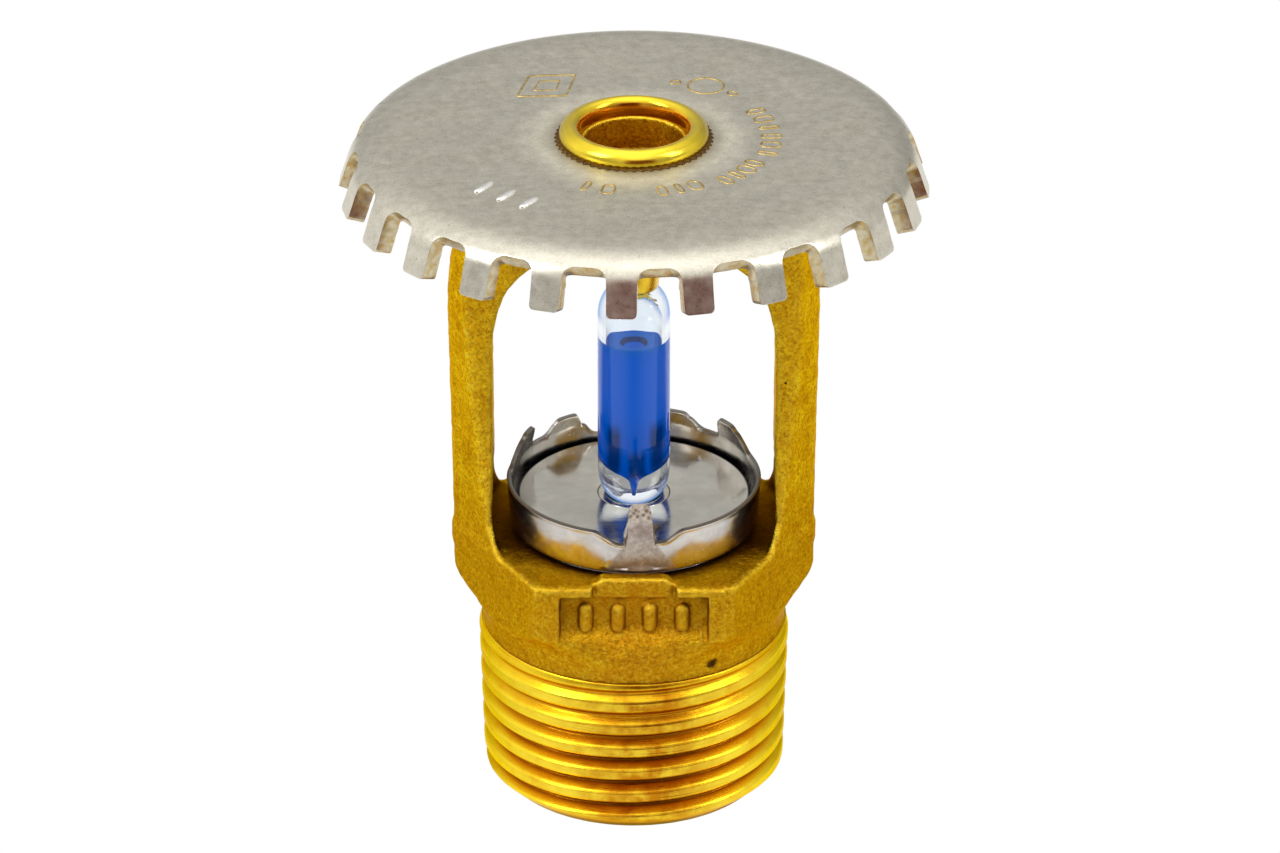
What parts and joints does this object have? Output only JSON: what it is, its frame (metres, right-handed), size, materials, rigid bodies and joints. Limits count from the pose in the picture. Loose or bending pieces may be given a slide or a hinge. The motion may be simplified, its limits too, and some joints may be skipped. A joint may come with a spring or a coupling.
{
  "type": "fire sprinkler head",
  "caption": "Frame-type glass-bulb fire sprinkler head with toothed deflector, two-arm brass frame, tabbed sealing cup and taper pipe thread.",
  "frame": {"origin": "centre of the inlet end face of the pipe thread", "axes": "+Z along the waterway axis from the inlet to the deflector, X across the two frame arms, -Y towards the front wrench flat"},
  "size_m": [0.0402, 0.0402, 0.0499],
  "materials": {
    "cast_brass": "sand-cast, threads turned",
    "satin_metal": "satin plated sheet",
    "turned_brass": "turned",
    "bulb_glass": "clear",
    "bulb_fluid": "clear coloured fluid",
    "stainless_sheet": "bright rolled sheet",
    "polished_cap": "polished",
    "spring_alloy": "rolled",
    "ptfe": "matt film"
  },
  "bodies": {
    "frame": {"frame": "cast_brass", "deflector": "satin_metal", "ptfe_film_lower": "ptfe"},
    "bulb_and_seal": {"bulb_glass": "bulb_glass", "bulb_fluid": "bulb_fluid", "crown_cup": "stainless_sheet", "pip_cap": "polished_cap", "bulb_seat_insert": "turned_brass", "belleville_spring": "spring_alloy", "ptfe_film_upper": "ptfe"},
    "load_screw": {"compression_screw": "turned_brass"}
  },
  "joints": [
    {"name": "seal_lift", "type": "slide", "parent": "frame", "child": "bulb_and_seal", "axis": [0, 0, 1], "range_m": [0, 0.00222]},
    {"name": "load_screw_turn", "type": "hinge", "parent": "bulb_and_seal", "child": "load_screw", "pos_m": [0, 0, 0.042], "axis": [0, 0, 1], "range_deg": [0, 630]}
  ],
  "couplings": [
    {"joint": "load_screw_turn", "follows": "seal_lift", "rad_per_m": 4947.4}
  ]
}
